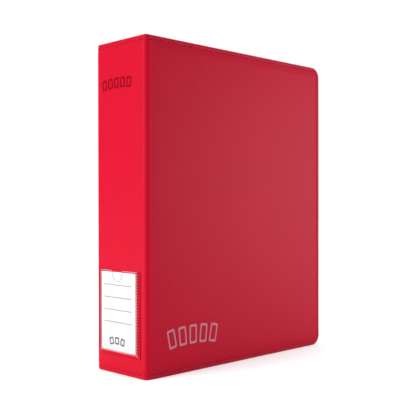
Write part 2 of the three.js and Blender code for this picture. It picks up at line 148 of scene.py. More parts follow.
def bevel(obj, width, segments, degrees):
    """Rounds off the edges over this angle."""
    modifier = obj.modifiers.new("edges", "BEVEL")
    modifier.width, modifier.segments = width, segments
    modifier.limit_method, modifier.angle_limit = "ANGLE", radians(degrees)


def paint(obj, *materials):
    obj.data.materials.clear()
    for material in materials:
        obj.data.materials.append(material)


def dress(obj, material, stands_for=(), body=None):
    """A piece's material and slot, the CAD nodes that it stands for and the body that it rides on."""
    paint(obj, material)
    if stands_for:
        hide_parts(*stands_for)
    if body:
        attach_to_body(obj, body)
    return obj


def circle(steps, radius=1.0):
    turns = [2 * pi * k / steps for k in range(steps)]
    return [(radius * cos(t), radius * sin(t)) for t in turns]


def loft(rings, closed=False):
    """Points and faces of a solid through rings of points, capped unless it closes on itself."""
    count, total = len(rings[0]), len(rings)
    faces = []
    for r in range(total if closed else total - 1):
        near, far = r * count, (r + 1) % total * count
        for k in range(count):
            m = (k + 1) % count
            faces.append((near + k, near + m, far + m, far + k))
    if not closed:
        faces += [tuple(range(count)), tuple(range((total - 1) * count, total * count))]
    return sum(rings, []), faces


def tube(path, radii, sides, across):
    """Points and faces of a closed tube. across is a direction that the path never follows."""
    rings = []
    for i, (centre, radius) in enumerate(zip(path, radii)):
        ahead = path[min(i + 1, len(path) - 1)] - path[max(i - 1, 0)]
        one = ahead.cross(across).normalized()
        two = ahead.cross(one).normalized()
        rings.append([centre + radius * (x * one + y * two) for x, y in circle(sides)])
    return loft(rings)


def slab(us, vs, place):
    """Points and faces of a closed sheet over a grid. place(u, v, side) is on its side 0 or 1."""
    nu, nv = len(us), len(vs)
    half = nu * nv
    faces = []
    for i in range(nu - 1):
        for k in range(i * nv, i * nv + nv - 1):
            a, b, c, d = k, k + 1, k + nv + 1, k + nv
            faces += [(a, b, c, d), (half + a, half + d, half + c, half + b)]
    border = [i * nv for i in range(nu)] + [half - nv + j for j in range(1, nv)]
    border += [i * nv + nv - 1 for i in range(nu - 2, -1, -1)] + list(range(nv - 2, 0, -1))
    faces += [(a, b, half + b, half + a) for a, b in zip(border, border[1:] + border[:1])]
    return [place(u, v, side) for side in (0, 1) for u in us for v in vs], faces


def gather(parts):
    """Many (points, faces) as one."""
    points, faces = [], []
    for some, more in parts:
        start = len(points)
        points += some
        faces += [tuple(start + i for i in face) for face in more]
    return points, faces


def bar(one, other, round_by):
    """Points and faces of a block between two corners, with its edges rounded off."""
    bm = bmesh.new()
    bmesh.ops.create_cube(bm, size=1)
    one, other = Vector(one), Vector(other)
    for vert in bm.verts:
        vert.co = Vector(c * abs(s) for c, s in zip(vert.co, other - one)) + (one + other) / 2
    bmesh.ops.bevel(bm, geom=bm.edges, offset=round_by, segments=2, affect="EDGES")
    bm.verts.index_update()
    made = [v.co.copy() for v in bm.verts], [tuple(v.index for v in f.verts) for f in bm.faces]
    bm.free()
    return made


def cut(obj, cutter, operation="DIFFERENCE"):
    """Applies a boolean with a cutter, whose material goes onto the faces that it makes."""
    modifier = obj.modifiers.new("cut", "BOOLEAN")
    modifier.operation, modifier.solver = operation, "EXACT"
    modifier.material_mode = "TRANSFER"
    modifier.object = cutter
    graph = bpy.context.evaluated_depsgraph_get()
    made = bpy.data.meshes.new_from_object(obj.evaluated_get(graph))
    obj.modifiers.clear()
    obj.data = made
    bpy.data.objects.remove(cutter)


def smoothstep(x):
    x = min(max(x, 0.0), 1.0)
    return x * x * (3 - 2 * x)


# ---- Materials ----


class Nodes:
    """A short way to write a material's or the world's nodes. Colours are linear (r, g, b)."""

    def __init__(self, owner):
        owner.use_nodes = True
        self.owner, self.tree = owner, owner.node_tree

    def add(self, kind, inputs, **settings):
        node = self.tree.nodes.new("ShaderNode" + kind)
        for key, value in settings.items():
            setattr(node, key, value)
        for key, value in inputs.items():
            self.set(node.inputs[key], value)
        return node

    def set(self, socket, value):
        if isinstance(value, bpy.types.NodeSocket):
            self.tree.links.new(value, socket)
        else:
            socket.default_value = (*value, 1) if socket.type == "RGBA" else value

    def shade(self, **values):
        bsdf = self.tree.nodes["Principled BSDF"]
        for key, value in values.items():
            self.set(bsdf.inputs[key.replace("_", " ")], value)

    def math(self, operation, a, b=0):
        return self.add("Math", {0: a, 1: b}, operation=operation).outputs[0]

    def plus(self, a, b):
        return self.math("ADD", a, b)

    def times(self, a, b):
        return self.math("MULTIPLY", a, b)

    def scaled(self, vector, factors):
        return self.add("VectorMath", {0: vector, 1: factors}, operation="MULTIPLY").outputs[0]

    def uv(self):
        """The wrapped surface's place, in millimetres."""
        return self.scaled(self.add("UVMap", {}, uv_map="wrap").outputs[0], (1000,) * 3)

    def place(self):
        """The object's own place, in millimetres."""
        return self.scaled(self.add("TexCoord", {}).outputs["Object"], (1000,) * 3)

    def split(self, where):
        return self.add("SeparateXYZ", {0: where}).outputs[:2]

    def wave(self, value, pitch):
        return self.math("SINE", self.times(value, 2 * pi / pitch))

    def noise(self, where, scale, detail=2.0, roughness=0.5):
        inputs = {"Vector": where, "Scale": scale, "Detail": detail, "Roughness": roughness}
        return self.add("TexNoise", inputs).outputs["Fac"]

    def ramp(self, value, low, high, from_low=0, from_high=1):
        return self.add("MapRange", {0: value, 1: from_low, 2: from_high, 3: low, 4: high}).outputs[0]

    def mix(self, factor, a, b):
        return self.add("Mix", {"Factor": factor, "A": a, "B": b}, data_type="RGBA").outputs["Result"]

    def bump(self, height, distance, strength=1.0, **others):
        inputs = {"Height": height, "Distance": distance, "Strength": strength, **others}
        return self.add("Bump", inputs).outputs[0]


def shader(name):
    return Nodes(bpy.data.materials.new(name))


def tone(colour, factor):
    return tuple(factor * c for c in colour)


def leatherette(name, colour, deep):
    """Embossed polyurethane: a fine pebbled grain over a regular cross-hatch, softly worn."""
    n = shader(name)
    where = n.uv()
    across, up = n.split(where)
    cloud = n.noise(where, 0.018, 3)
    pebbles = n.add("TexVoronoi", {"Vector": where, "Scale": 1.15, "Randomness": 0.85})
    fine = n.noise(where, 2.6, 3, 0.6)
    hatch = n.times(n.plus(n.wave(across, GRAIN_PITCH), n.wave(up, GRAIN_PITCH)), 0.22)
    height = n.plus(n.plus(pebbles.outputs["Distance"], hatch), fine)
    tint = n.mix(n.ramp(height, 0, 0.55, 0.2, 1.5), deep, colour)
    worn = n.mix(n.ramp(cloud, 0, 0.14, 0.35, 0.7), tint, colour)
    # Faint ripples run up the covers. They start beside the bend and fade towards the fore edge.
    sway = n.times(n.noise(where, 0.006, 1), 26.0)
    ripple = n.wave(n.plus(across, sway), RIPPLE_PITCH)
    away = n.math("ABSOLUTE", across)
    fade = n.times(n.ramp(away, 0, 1, 42, 52), n.ramp(away, 0.42, 0.1, 70, 200))
    streak = n.times(n.ramp(ripple, 0, 1, -1, 1), fade)
    n.shade(Base_Color=n.mix(streak, worn, tone(deep, 0.8)), Specular_IOR_Level=0.06)
    n.shade(Roughness=n.ramp(fine, 0.41, 0.54, 0.3, 0.7))
    n.shade(Normal=n.bump(cloud, 0.5 * MM, 0.3, Normal=n.bump(height, 0.05 * MM, 0.7)))
    return n.owner


def thread(name, colour):
    """A twisted thread: fine slanted ridges round it."""
    n = shader(name)
    where = n.place()
    twist = n.add("TexWave", {"Vector": where, "Scale": 1.4, "Distortion": 1.5}).outputs["Fac"]
    n.shade(Base_Color=n.mix(n.ramp(twist, 0, 0.5), colour, tone(colour, 0.75)))
    n.shade(Roughness=n.ramp(n.noise(where, 3.0), 0.5, 0.7), Specular_IOR_Level=0.15)
    n.shade(Normal=n.bump(twist, 0.08 * MM))
    return n.owner


def stamped(name, colour, gloss, sheen):
    """Leatherette pressed flat by a hot die."""
    n = shader(name)
    soft = n.noise(n.uv(), 0.9, 3)
    n.shade(Base_Color=n.mix(n.ramp(soft, 0, 0.35), colour, tone(colour, 0.75)))
    n.shade(Roughness=n.ramp(soft, gloss, gloss + 0.12), Specular_IOR_Level=sheen)
    n.shade(Normal=n.bump(soft, 0.03 * MM))
    return n.owner


def woven_lining(name, dark, light):
    """A lining cloth in plain weave."""
    n = shader(name)
    where = n.uv()
    across, up = n.split(where)
    weave = n.times(n.wave(across, WEAVE_PITCH), n.wave(up, WEAVE_PITCH))
    fibre = n.noise(where, 1.8, 4, 0.65)
    cloud = n.times(n.noise(where, 0.03, 3), 0.5)
    lit = n.plus(n.times(weave, 0.18), n.plus(fibre, cloud))
    n.shade(Base_Color=n.mix(n.ramp(lit, 0, 1, 0.35, 1.25), dark, light), Specular_IOR_Level=0.3)
    n.shade(Roughness=n.ramp(fibre, 0.72, 0.9), Sheen_Weight=0.3, Sheen_Roughness=0.5)
    n.shade(Normal=n.bump(n.plus(weave, fibre), 0.07 * MM, 0.8))
    return n.owner


def steel(name, colour, roughness, brushed):
    """Nickel plate or spring steel, with faint drawing lines along the length."""
    n = shader(name)
    where = n.place()
    lines = n.noise(n.scaled(where, (4.0, 4.0, 0.06)), 1.0, 4, 0.6)
    smudge = n.noise(where, 0.12, 3)
    wear = n.plus(n.times(lines, brushed), n.times(smudge, 0.12))
    n.shade(Base_Color=n.mix(n.ramp(smudge, 0, 0.5, 0.3, 0.8), colour, tone(colour, 0.82)))
    n.shade(Metallic=1.0, Roughness=n.ramp(wear, roughness, roughness + 0.3))
    n.shade(Normal=n.bump(lines, 0.012 * MM, brushed))
    return n.owner


def clear_film(name, tint, veil, haze):
    """Clear vinyl: mostly see-through, milkier where it is seen edge on, with faint ripples."""
    n = shader(name)
    where = n.place()
    ripple = n.noise(where, 0.05, 2)
    fine = n.noise(where, 0.9, 3)
    edge_on = n.math("POWER", n.add("LayerWeight", {"Blend": 0.35}).outputs["Facing"], 5.0)
    cloudy = n.times(n.plus(n.times(ripple, 0.5), 0.75), veil)
    n.shade(Alpha=n.plus(cloudy, n.times(edge_on, 0.5)))
    n.shade(Base_Color=n.mix(fine, tint, tone(tint, 1.12)), Specular_IOR_Level=0.8)
    n.shade(Roughness=n.ramp(fine, haze, haze + 0.1, 0.3, 0.7))
    n.shade(Normal=n.bump(n.plus(ripple, n.times(fine, 0.008)), 0.5 * MM, 0.6))
    return n.owner


def speckled(name, dark, light, rough, scale, detail=2.0, grit=0.5, spread=(0, 1), relief=0, **fixed):
    """A material whose colour, roughness and relief follow one noise, or cells where detail is None."""
    n = shader(name)
    if detail is None:
        cells = n.add("TexVoronoi", {"Vector": n.place(), "Scale": scale})
        spots = cells.outputs["Distance"]
    else:
        spots = n.noise(n.place(), scale, detail, grit)
    n.shade(Base_Color=n.mix(n.ramp(spots, 0, 1, *spread), dark, light))
    n.shade(Roughness=n.ramp(spots, *rough), **fixed)
    if relief:
        n.shade(Normal=n.bump(spots, relief))
    return n.owner


def grey(value):
    return (value,) * 3


LEATHER = leatherette("red_leatherette", (0.43, 0.0008, 0.0160), (0.34, 0.0007, 0.0125))
BORDER = leatherette("border_leatherette", (0.42, 0.0006, 0.012), (0.36, 0.0005, 0.010))
# The side borders' bed is a darker leatherette: painted shade for the shadow beside their stitches.
SHADED_ROPE_BED = leatherette("rope_bed_shade", (0.37, 0.0006, 0.012), (0.30, 0.0005, 0.010))
THREAD = thread("red_thread", (0.58, 0.008, 0.04))
# The side borders' red thread is lightened to pink: red thread with a painted highlight.
HIGHLIT_BORDER_THREAD = thread("border_thread_highlight", (0.60, 0.05, 0.08))
# The needle holes' near-black colour is painted shade inside the holes.
HOLE_SHADE = speckled("needle_hole_shade", (0.030, 0.0010, 0.003), (0.060, 0.0018, 0.006), (0.8, 0.95), 2.0,
                Specular_IOR_Level=0.1)
FRONT_MARK = stamped("front_stamping", (0.44, 0.085, 0.115), 0.35, 0.4)
SPINE_MARK = stamped("spine_stamping", (0.20, 0.0007, 0.008), 0.6, 0.03)
# The stamped strokes' walls are painted darker: painted shade in the recess.
MARK_WALL_SHADE = stamped("stamping_wall_shade", (0.16, 0.0006, 0.006), 0.6, 0.03)
LINING = woven_lining("lining_cloth", (0.010, 0.0095, 0.011), (0.034, 0.032, 0.036))
PLATED = steel("nickel_plate", (0.56, 0.565, 0.575), 0.14, 0.25)
SPRING = steel("spring_steel", (0.30, 0.305, 0.31), 0.28, 0.5)
WINDOW_FILM = clear_film("window_film", (0.10, 0.10, 0.105), 0.085, 0.08)
PAGE_FILM = clear_film("page_film", (0.70, 0.73, 0.76), 0.07, 0.12)
PAGE_WELD = clear_film("page_weld", (0.80, 0.83, 0.86), 0.34, 0.35)
FOAM = speckled("padding_foam", (0.62, 0.58, 0.49), (0.80, 0.77, 0.70), (0.85, 0.98), 1.6, None,
                relief=0.2 * MM)
BOARD = speckled("greyboard", (0.24, 0.21, 0.17), (0.36, 0.33, 0.27), (0.82, 0.95), 0.8, 5, 0.7,
                 (0.3, 0.7), 0.05 * MM)
CARD = speckled("card_stock", grey(0.57), grey(0.60), (0.6, 0.75), 1.2, 5, 0.7, (0.35, 0.65), 0.01 * MM)
RULE_INK = speckled("rule_ink", grey(0.19), grey(0.247), (0.5, 0.7), 2.5, 3)
MARK_INK = speckled("mark_ink", grey(0.03), grey(0.039), (0.5, 0.7), 2.5, 3)
# Where the clear film is cut, its edge gathers the colour behind it. The light pink of the film's edges is
# also a painted highlight, where these edges catch the light.
FILM_EDGE_HIGHLIGHT = speckled("film_edge_highlight", (0.80, 0.22, 0.28), (0.90, 0.36, 0.42), (0.15, 0.3), 1.1,
                     Transmission_Weight=0.2, IOR=1.45)
NOTCH_EDGE = speckled("notch_edge", (0.22, 0.21, 0.22), (0.30, 0.29, 0.30), (0.15, 0.3), 1.1,
                      Transmission_Weight=0.2, IOR=1.45)
PALE_FLOOR = speckled("pale_floor", grey(0.93), grey(0.96), (0.85, 0.95), 0.003, Specular_IOR_Level=0.1)


# ---- Camera, floor and lights ----

CAMERA_PLACE = Vector((SPINE_X - 464.7 * MM, FRONT_Y - 549.0 * MM, 167.8 * MM))
CAMERA_YAW, CAMERA_PITCH, CAMERA_ROLL = -0.7843, -0.0049, 0.0017
CAMERA_LENS, SENSOR = 65.45, 36.0
ROOM_SIDE, ROOM_TOP = 0.17, 1.62  # the room's brightness at the sides and overhead
KEY_POWER, FILL_POWER, GLOW_POWER = 32.4, 8.5, 0.4
FILL_COLOUR = (0.60, 0.92, 1.0)
FLOOR_HALF = 6.0


def camera():
    data = bpy.data.cameras.new("camera")
    data.sensor_width, data.lens = SENSOR, CAMERA_LENS
    data.clip_start, data.clip_end = 0.01, 50
    obj = add_object("camera", data)
    turn = (Matrix.Rotation(CAMERA_YAW, 4, "Z") @ Matrix.Rotation(CAMERA_PITCH, 4, "X")
            @ Matrix.Rotation(CAMERA_ROLL, 4, "Y") @ Matrix.Rotation(pi / 2, 4, "X"))
    obj.matrix_world = Matrix.Translation(CAMERA_PLACE) @ turn
    bpy.context.scene.camera = obj


def softbox(name, place, target, size, power, colour=(1, 1, 1)):
    data = bpy.data.lights.new(name, "AREA")
    data.shape = "RECTANGLE"
    data.size, data.size_y = size
    data.energy, data.color = power, colour
    obj = add_object(name, data)
    aim = (Vector(target) - Vector(place)).to_track_quat("-Z", "Y")
    obj.matrix_world = Matrix.Translation(place) @ aim.to_matrix().to_4x4()
    obj.visible_camera = False


def studio():
    """A white room: bright overhead and dimmer at the sides, seen by the camera as plain white."""
    n = Nodes(bpy.data.worlds.new("studio"))
    bpy.context.scene.world = n.owner
    up = n.add("SeparateXYZ", {0: n.add("TexCoord", {}).outputs["Generated"]}).outputs["Z"]
    overhead = {0: up, 1: 0.15, 2: 0.9, 3: ROOM_SIDE, 4: ROOM_TOP}
    strength = n.add("MapRange", overhead, interpolation_type="SMOOTHSTEP").outputs[0]
    room = n.add("Background", {"Color": (1, 1, 1), "Strength": strength}).outputs[0]
    backdrop = n.tree.nodes["Background"]
    n.set(backdrop.inputs["Color"], (1, 1, 1))
    seen = n.add("LightPath", {}).outputs["Is Camera Ray"]
    chosen = n.add("MixShader", {0: seen, 1: room, 2: backdrop.outputs[0]}).outputs[0]
    n.set(n.tree.nodes["World Output"].inputs["Surface"], chosen)
    softbox("key_left", (-1.7, 0.35, 0.5), (0, 0, MIDDLE_Z), (0.9, 1.3), KEY_POWER)
    softbox("fill_right", (0.82, -0.68, 0.25), (0.1, 0, 0.15), (0.45, 0.55), FILL_POWER, FILL_COLOUR)
    softbox("glow_low", (-0.46, 0.12, 0.04), (SPINE_X, 0, 0.02), (0.3, 0.07), GLOW_POWER)

    corners = [(FLOOR_HALF * x, FLOOR_HALF * y, 0) for x, y in ((-1, -1), (1, -1), (1, 1), (-1, 1))]
    floor = mesh_object("floor", (corners, [(0, 1, 2, 3)]))
    paint(floor, PALE_FLOOR)
    bpy.context.scene.view_settings.view_transform = "Standard"


# ---- Covers and spine ----
#
# The case is laid out flat as (a, z). On a cover, a runs from the spine's edge round the bend to the
# fore edge; on the spine it runs from the back cover to the front one; z runs up. A section across an
# edge is a list of (inset from the edge, face, distance under that face): face 0 is the outside and
# face 1 the inside.

OUTSIDE, INSIDE = 0, 1
SEAM_FLAP = 2 * MM  # how far the bend's piece reaches onto the spine
BARE_BEND_T = 1.6 * MM  # skin and lining alone
MIDDLE_INSET = FORE_CORNER_R - 0.01 * MM
SPINE_REACH = -FRONT_Y - BEND_R
SPINE_SPAN = SPINE_REACH - SEAM_FLAP
GAP = 0.05 * MM  # between two layers
FACING_T = 0.9 * MM  # the outer part of a panel, which keeps its thickness round the bend
RIM_R, HEM_R = 1.5 * MM, 0.8 * MM  # the outer and the inner rounding of an edge
PADDING_RISE = 9 * MM  # over which the padding reaches its full height beside a hinge
CORNER_STEPS = 10
ROWS = list(np.linspace(FORE_CORNER_R, HEIGHT - FORE_CORNER_R, 22))


def crown(inset):
    """Depth of the padded face beyond the seam."""
    share = smoothstep((inset - SEAM_INSET - 0.8 * MM) / (6.6 * MM))
    return RIM_DIP - share * (RIM_DIP + CROWN)


def rounding(face, radius, depth, start, end, steps):
    """A rounded edge, from one angle to another in quarter turns, with its top at a depth."""
    angles = [pi / 2 * (start + (end - start) * i / steps) for i in range(steps + 1)]
    return [(radius * (1 - cos(t)), face, depth + radius * (1 - sin(t))) for t in angles]


def skin_section():
    """The leatherette turned over an edge, from the middle of the outside to its hem and back."""
    shoulder, lip = RIM_DIP + 0.6 * (SEAM_DIP - RIM_DIP), RIM_DIP + 0.02 * MM
    groove = ((0.75, lip), (0.3375, shoulder), (0, SEAM_DIP), (-0.3375, shoulder), (-0.75, lip))
    section = [(x, OUTSIDE, crown(x)) for x in (MIDDLE_INSET, 10.6 * MM, 9.2 * MM, 7.6 * MM, 6.2 * MM)]
    section += [(SEAM_INSET + step * MM, OUTSIDE, depth) for step, depth in groove]
    section += rounding(OUTSIDE, RIM_R, RIM_DIP, 1, 0, 6) + rounding(INSIDE, HEM_R, GAP, 0, 1, 4)
    section += [
        (1.5 * MM, INSIDE, GAP),
        (1.5 * MM, INSIDE, SKIN_T + GAP),
        (SKIN_T, INSIDE, HEM_R + 0.2 * MM),
        (SKIN_T, OUTSIDE, RIM_DIP + RIM_R),
        (RIM_R, OUTSIDE, RIM_DIP + SKIN_T + 0.1 * MM),
        (SEAM_INSET, OUTSIDE, SEAM_DIP + SKIN_T),
    ]
    return section + [(x, OUTSIDE, crown(x) + SKIN_T) for x in (6.2 * MM, 9.2 * MM, MIDDLE_INSET)]


def lining_section():
    """The lining cloth, whose folded edge meets the skin's hem."""
    edge, cloth = 1.55 * MM, 0.6 * MM
    spots = [(MIDDLE_INSET, 0), (7 * MM, 0), (5.1 * MM, 0), (SEAM_INSET, LINING_SEAM_DIP)]
    spots += [(3.9 * MM, 0.02 * MM), (edge + 0.15 * MM, GAP), (edge, cloth / 2)]
    spots += [(edge + 0.15 * MM, cloth), (MIDDLE_INSET, cloth)]
    return [(x, INSIDE, depth) for x, depth in spots]


def foam_section():
    """Foam under the skin, thinned to nothing at the seam."""
    base = 1.78 * MM
    spots = [(x, crown(x) + SKIN_T + GAP) for x in (MIDDLE_INSET, 9.2 * MM, 6.2 * MM)]
    spots += [(5.4 * MM, 1.2 * MM), (5.2 * MM, 1.5 * MM), (5.4 * MM, base), (MIDDLE_INSET, base)]
    return [(x, OUTSIDE, depth) for x, depth in spots]


def depth_at(face, depth, thickness, padding):
    """Depth under the outer face, where the panel has this thickness and this share of its padding."""
    if face == INSIDE:
        return thickness - depth * thickness / COVER_T
    if depth < 0:
        return depth * padding
    return depth + max(depth - FACING_T, 0) * (thickness - COVER_T) / (COVER_T - FACING_T)


class Cover:
    """A cover with the bend beside it. side is -1 for the front cover and 1 for the back cover."""

    def __init__(self, side, start=-SEAM_FLAP):
        self.side = side
        bend = (0, 0.1, 0.2, 0.3, 0.38, 0.44, 0.48, 0.52, 0.56, 0.62, 0.7, 0.8, 0.9, 1)
        steps = [-SEAM_FLAP, -SEAM_FLAP / 2] + [BEND_LENGTH * x for x in bend]
        steps += [BEND_LENGTH + x * MM for x in (0.6, 1.3, 2.2, 3.4, 5.0, 7.0, 9.5)]
        steps += list(np.linspace(steps[-1], COVER_REACH - FORE_CORNER_R, 18)[1:])
        self.columns = [a for a in steps if a >= start]

    def place(self, a, z, depth):
        turn = min(max(a / BEND_R, 0), pi / 2)
        x = BEND_R - (BEND_R - depth) * cos(turn) + max(a - BEND_LENGTH, 0)
        y = BEND_R - (BEND_R - depth) * sin(turn) - min(a, 0)
        return Vector((SPINE_X + x, self.side * (BACK_Y - y), z))

    def grain(self, a, z):
        return (-self.side * (SPINE_REACH + a), z)

    def thickness(self, a):
        near = min(a, BEND_LENGTH - a) - 0.1 * MM
        return COVER_T - (COVER_T - BARE_BEND_T) * smoothstep(near / (1.1 * MM))

    def padding(self, a):
        return smoothstep((a - BEND_LENGTH - 0.5 * MM) / PADDING_RISE)

    def outline(self, inset):
        """The free edge at an inset, from the bottom of the hinge side to its top."""
        middle, top, radius = COVER_REACH - FORE_CORNER_R, HEIGHT - FORE_CORNER_R, FORE_CORNER_R - inset
        corner = [pi / 2 * i / CORNER_STEPS for i in range(1, CORNER_STEPS)]
        points = [(a, inset) for a in self.columns]
        points += [(middle + radius * sin(t), FORE_CORNER_R - radius * cos(t)) for t in corner]
        points += [(COVER_REACH - inset, z) for z in ROWS]
        points += [(middle + radius * cos(t), top + radius * sin(t)) for t in corner]
        return [points + [(a, HEIGHT - inset) for a in reversed(self.columns)]]

    def border(self, i, j):
        """Place in the outline of the middle grid's column i and row j, or None inside it."""
        before_rows, last = len(self.columns) + CORNER_STEPS - 1, len(ROWS) - 1
        if j == 0:
            return i
        if j == last:
            return 2 * before_rows + last - i
        return before_rows + j if i == len(self.columns) - 1 else None


class Spine:
    """The spine, whose layout runs from the back cover to the front one."""

    def __init__(self):
        edge = [SPINE_SPAN - x * MM for x in (0, 1, 3, 6, 10)]
        middle = list(np.linspace(-SPINE_SPAN / 3, SPINE_SPAN / 3, 5))
        self.columns = [-a for a in edge] + middle + edge[::-1]

    def place(self, a, z, depth):
        return Vector((SPINE_X + depth, -a, z))

    def grain(self, a, z):
        return (a, z)

    def thickness(self, a):
        return COVER_T

    def padding(self, a):
        return smoothstep((SPINE_SPAN - abs(a)) / PADDING_RISE)

    def outline(self, inset):
        return [[(a, z) for a in self.columns] for z in (inset, HEIGHT - inset)]

    def border(self, i, j):
        return {0: i, len(ROWS) - 1: len(self.columns) + i}.get(j)


def panel_mesh(name, panel, section):
    """A closed piece whose edges follow a section and whose two middles are grids."""
    points, faces, grains, starts = [], [], [], []

    def add(a, z, face, depth, grain):
        inward = depth_at(face, depth, panel.thickness(a), panel.padding(a))
        points.append(panel.place(a, z, inward))
        grains.append(grain)

    run, last = MIDDLE_INSET, None  # run is the inset that the section would have if it lay flat
    for inset, face, depth in section:
        level = depth_at(face, depth, COVER_T, 1)
        if last:
            run -= hypot(inset - last[0], level - last[1])
        last = (inset, level)
        starts.append(len(points))
        for line, flat_line in zip(panel.outline(inset), panel.outline(run)):
            for (a, z), flat in zip(line, flat_line):
                add(a, z, face, depth, panel.grain(*flat))
    ends = list(np.cumsum([len(line) for line in panel.outline(0)]))
    for first, second in zip(starts, starts[1:]):
        faces += [(first + i, first + i + 1, second + i + 1, second + i)
                  for i in range(ends[-1]) if i + 1 not in ends]
    rows = len(ROWS)
    for start, (_, face, depth) in ((starts[0], section[0]), (starts[-1], section[-1])):
        grid = []
        for i, a in enumerate(panel.columns):
            for j, z in enumerate(ROWS):
                known = panel.border(i, j)
                grid.append(len(points) if known is None else start + known)
                if known is None:
                    add(a, z, face, depth, panel.grain(a, z))
        for k in range(len(grid) - rows):
            if (k + 1) % rows:
                faces.append((grid[k], grid[k + rows], grid[k + rows + 1], grid[k + 1]))
    return mesh_object(name, (points, faces), grains, merge=0.015 * MM, close=True)


# ---- Stitching ----


def dimple(centre, along, out, length, width):
    """A small cup round a needle hole; its dark colour is painted shade inside the hole."""
    across, sides = along.cross(out).normalized(), 10
    points = [centre + 0.5 * (length * x * along + width * y * across) for x, y in circle(sides)]
    faces = [(k, (k + 1) % sides, sides) for k in range(sides)]
    faces += [((k + 1) % sides, k, sides + 1) for k in range(sides)]
    return points + [centre - 0.12 * MM * out, centre - 0.4 * MM * out], faces


def seam_walk(line):
    """A line of (a, z) as a function of the distance along it, and the middle of each stitch on it."""
    corners = np.array(line)
    reach = np.concatenate([[0], np.cumsum(np.linalg.norm(np.diff(corners, axis=0), axis=1))])
    count = int(reach[-1] / STITCH_PITCH)
    spare = (reach[-1] - count * STITCH_PITCH) / 2

    def at(distance):
        return [np.interp(distance, reach, axis) for axis in corners.T]

    return at, [spare + (k + 0.5) * STITCH_PITCH for k in range(count)]


def stitches(panel, face):
    """Thread and needle holes along a panel's seam, on one face."""
    threads, holes = [], []
    floor = SEAM_DIP if face == OUTSIDE else LINING_SEAM_DIP
    rise = [height * MM for height in (-0.3, 0.06, 0.17, 0.17, 0.06, -0.3)]
    radii = [THREAD_R * share for share in (0.6, 1, 1, 1, 1, 0.6)]
    wide = 1.35 * MM  # of the dimple round each hole

    def spot(at, distance, height):
        a, z = at(distance)
        return panel.place(a, z, depth_at(face, floor - height, panel.thickness(a), 1))

    def outward(at, distance):
        return (spot(at, distance, 0.2 * MM) - spot(at, distance, 0)).normalized()

    for line in panel.outline(SEAM_INSET):
        at, centres = seam_walk(line)
        for centre in centres:
            path = [spot(at, centre + STITCH_LENGTH * (i / 5 - 0.5), height) for i, height in enumerate(rise)]
            along = (path[-1] - path[0]).normalized()
            threads.append(tube(path, radii, 6, along.cross(outward(at, centre))))
            gap = centre + STITCH_PITCH / 2
            holes.append(dimple(spot(at, gap, 0.22 * MM), along, outward(at, gap), wide, wide))
    return gather(threads), gather(holes)


# ---- Marks ----

MARK_FLARE = 0.45 * MM  # how far a stamped stroke's sides slope out above its floor
MARK_DEPTH = 0.36 * MM


def rounded_rectangle(width, height, radius, lean, centre):
    """Corners of a rounded rectangle, turned by lean about its centre."""
    points, steps = [], 4
    for quarter, (sx, sy) in enumerate([(1, 1), (-1, 1), (-1, -1), (1, -1)]):
        for i in range(steps + 1):
            turn = pi / 2 * (quarter + i / steps)
            x = sx * (width / 2 - radius) + radius * cos(turn)
            y = sy * (height / 2 - radius) + radius * sin(turn)
            points.append((centre[0] + x * cos(lean) - y * sin(lean),
                           centre[1] + x * sin(lean) + y * cos(lean)))
    return points


def card_row(width, height, count=5):
    """Outlines of a row of cards held like a hand: (outer, inner) loops of each, about the middle."""
    pitch = width / count
    wide, tall, stroke = 0.74 * pitch, 0.84 * height, 0.17 * pitch
    loops = []
    for k in range(count):
        share = 2 * k / (count - 1) - 1
        centre = (share * (width - pitch) / 2, 0.08 * height * (0.5 - share * share))
        lean = -0.22 * share
        loops.append((rounded_rectangle(wide, tall, 0.18 * wide, lean, centre),
                      rounded_rectangle(wide - 2 * stroke, tall - 2 * stroke, 0.09 * wide, lean, centre)))
    return loops


def frames(loops, to_place, top, bottom, flare=0):
    """A closed ring for each pair of loops, between two heights; flare widens it at the top."""
    parts = []
    for outer, inner in loops:
        middle = np.mean(outer, axis=0)

        def spread(loop, grow):
            away = np.array(loop) - middle
            return loop + away / np.linalg.norm(away, axis=1, keepdims=True) * grow

        levels = ((spread(outer, flare), top), (outer, bottom), (inner, bottom), (spread(inner, -flare), top))
        parts.append(loft([[to_place(x, y, height) for x, y in loop] for loop, height in levels], True))
    return gather(parts)


def stamp(leather, mark, size, to_place, to_grain):
    """Presses a row of card outlines into a leather piece."""
    loops = card_row(*size)
    points, faces = frames(loops, to_place, 0.6 * MM, -0.02 * MM, MARK_FLARE)
    cutter = mesh_object("stamp", (points, faces), [to_grain(p) for p in points])
    paint(cutter, mark, MARK_WALL_SHADE)
    side_faces = len(loops[0][0])  # on each of a stroke's four sides, of which two are its walls
    # The two walls of each stroke take the painted shade of the recess.
    for face in cutter.data.polygons:
        face.material_index = int(face.index // side_faces % 4 in (0, 2))
    cut(leather, cutter)
    sharpen(leather, 40)


# ---- Case ----

FRONT_MARK_MIDDLE = (SPINE_X + 62 * MM, 36.5 * MM)  # x and z
FRONT_MARK_SIZE = (72 * MM, 23 * MM)
SPINE_MARK_MIDDLE = (5 * MM, 287.5 * MM)  # y and z
SPINE_MARK_SIZE = (48 * MM, 12 * MM)


def build_panel(prefix, stems, panel, foam_panel, attach, press=None):
    """A panel's pieces, standing for the CAD nodes with these stems."""
    leather = panel_mesh(f"{prefix}_leather", panel, skin_section())
    dress(leather, LEATHER, [f"{stem}_skin" for stem in stems])
    if press:
        stamp(leather, *press)
    attach(leather)

    lining = panel_mesh(f"{prefix}_lining_cloth", panel, lining_section())
    attach(dress(lining, LINING, [f"{stem}_lining" for stem in stems]))

    foam = panel_mesh(f"{prefix}_foam", foam_panel, foam_section())
    dress(foam, FOAM, [f"{prefix}_padding"], prefix)
    for face, side in ((OUTSIDE, "outer"), (INSIDE, "inner")):
        for kind, geometry, material in zip(("thread", "holes"), stitches(panel, face), (THREAD, HOLE_SHADE)):
            attach(dress(mesh_object(f"{prefix}_{side}_{kind}", geometry), material))


